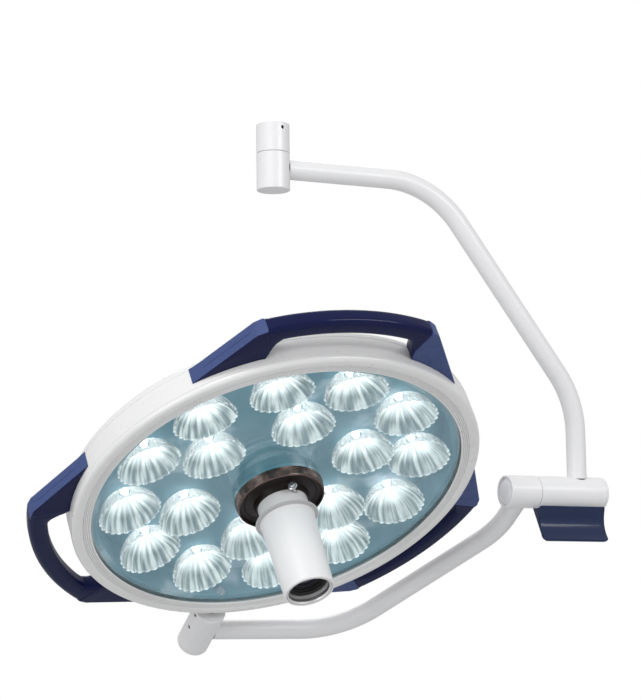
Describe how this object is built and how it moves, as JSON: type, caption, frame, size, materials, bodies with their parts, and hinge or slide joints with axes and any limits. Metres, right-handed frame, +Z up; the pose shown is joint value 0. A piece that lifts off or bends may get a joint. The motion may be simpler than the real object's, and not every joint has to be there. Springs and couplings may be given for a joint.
{
  "type": "dental operating light",
  "caption": "Surgical and dental operating light with a round LED head, grab handles and a central sterile handle, hung in a bent two-arm yoke.",
  "frame": {"origin": "centre of the top face of the suspension socket, where a ceiling spring arm's spigot plugs in; the light hangs below it", "axes": "+Z straight up along the suspension socket; +X along the outer arm towards the second hub; -Y the side the light faces at rest"},
  "size_m": [0.8887, 0.6537, 0.7658],
  "materials": {
    "white_enamel": "smooth gloss powder coat, slightly warm white",
    "head_white": "smooth satin-gloss moulded plastic",
    "handle_navy": "navy soft-touch plastic, glossy bar and finely textured shoulders",
    "panel_navy": "dark navy gloss moulding with a teal side",
    "key_rubber": "matt silicone keys",
    "steel": "turned bearing steel",
    "black_steel": "blackened socket screws",
    "cast_frame": "die-cast aluminium, bead blasted",
    "front_glass": "clear toughened glass with a faint blue-green tint",
    "carrier_teal": "blue-green satin lacquer",
    "reflector_clear": "clear fluted optical plastic, silvered flutes",
    "circuit_board": "white solder mask",
    "driver_black": "black moulded case",
    "hub_bronze": "dark bronze anodising with polished rims",
    "barrel_black": "black anodised, ribbed inside",
    "lens_glass": "coated camera lens",
    "handle_white": "satin autoclavable plastic",
    "tip_steel": "polished ring"
  },
  "bodies": {
    "mount": {"socket_housing": "white_enamel", "locking_screw": "black_steel", "swivel_axle": "steel"},
    "outer_arm": {"swivel_housing": "white_enamel", "swivel_cap": "white_enamel", "swivel_bearing": "steel", "outer_arm_tube": "white_enamel", "pivot_housing": "white_enamel", "pivot_end_cap": "white_enamel", "pivot_axle": "steel", "control_panel": "panel_navy"},
    "brighter_key": {"key_brighter": "key_rubber"},
    "power_key": {"key_power": "key_rubber"},
    "dimmer_key": {"key_dimmer": "key_rubber"},
    "inner_arm": {"rotor_housing": "white_enamel", "rotor_cap": "white_enamel", "pivot_bearing": "steel", "inner_arm_tube": "white_enamel", "yoke_housing": "white_enamel", "yoke_cap": "white_enamel", "yoke_bearing": "steel", "yoke_screw_1": "black_steel", "yoke_screw_2": "black_steel"},
    "head": {"rear_cover": "head_white", "bezel": "head_white", "front_glass": "front_glass", "carrier_frame": "cast_frame", "head_shaft": "steel", "reflector_plate": "carrier_teal", "reflector_outer_1": "reflector_clear", "reflector_outer_2": "reflector_clear", "reflector_outer_3": "reflector_clear", "reflector_outer_4": "reflector_clear", "reflector_outer_5": "reflector_clear", "reflector_outer_6": "reflector_clear", "reflector_outer_7": "reflector_clear", "reflector_outer_8": "reflector_clear", "reflector_outer_9": "reflector_clear", "reflector_outer_10": "reflector_clear", "reflector_outer_11": "reflector_clear", "reflector_outer_12": "reflector_clear", "reflector_inner_1": "reflector_clear", "reflector_inner_2": "reflector_clear", "reflector_inner_3": "reflector_clear", "reflector_inner_4": "reflector_clear", "reflector_inner_5": "reflector_clear", "reflector_inner_6": "reflector_clear", "led_board": "circuit_board", "heat_sink": "cast_frame", "driver_box": "driver_black", "grab_handle_1": "handle_navy", "grab_handle_2": "handle_navy", "grab_handle_3": "handle_navy", "hub_ring": "hub_bronze", "camera_barrel": "barrel_black", "camera_lens": "lens_glass"},
    "sterile_handle": {"handle_collar": "handle_white"},
    "latch": {"latch_pin": "steel"},
    "sleeve": {"sterile_sleeve": "handle_white", "sleeve_tip_ring": "tip_steel"}
  },
  "joints": [
    {"name": "suspension_swivel", "type": "hinge", "parent": "mount", "child": "outer_arm", "pos_m": [0, 0, 0], "axis": [0, 0, 1], "continuous": true},
    {"name": "arm_pivot", "type": "hinge", "parent": "outer_arm", "child": "inner_arm", "pos_m": [0, 0, -0.53], "axis": [1, 0, 0], "range_deg": [-222, 108]},
    {"name": "head_tilt", "type": "hinge", "parent": "inner_arm", "child": "head", "pos_m": [0, 0, -0.53], "axis": [0, 0.8443, -0.5358], "range_deg": [-165, 165]},
    {"name": "handle_turn", "type": "hinge", "parent": "head", "child": "sterile_handle", "pos_m": [0, 0, -0.53], "axis": [0.0349, -0.5355, -0.8438], "range_deg": [-45, 45]},
    {"name": "sleeve_pull", "type": "slide", "parent": "sterile_handle", "child": "sleeve", "axis": [0.0349, -0.5355, -0.8438], "range_m": [0, 0.13]},
    {"name": "latch_press", "type": "slide", "parent": "sterile_handle", "child": "latch", "axis": [0.5557, 0.7121, -0.429], "range_m": [0, 0.002], "stiffness_N_per_m": 800},
    {"name": "brighter_press", "type": "slide", "parent": "outer_arm", "child": "brighter_key", "axis": [0, -0.8703, 0.4926], "range_m": [0, 0.0012], "stiffness_N_per_m": 600},
    {"name": "power_press", "type": "slide", "parent": "outer_arm", "child": "power_key", "axis": [0, -0.8703, 0.4926], "range_m": [0, 0.0012], "stiffness_N_per_m": 600},
    {"name": "dimmer_press", "type": "slide", "parent": "outer_arm", "child": "dimmer_key", "axis": [0, -0.8703, 0.4926], "range_m": [0, 0.0012], "stiffness_N_per_m": 600}
  ]
}
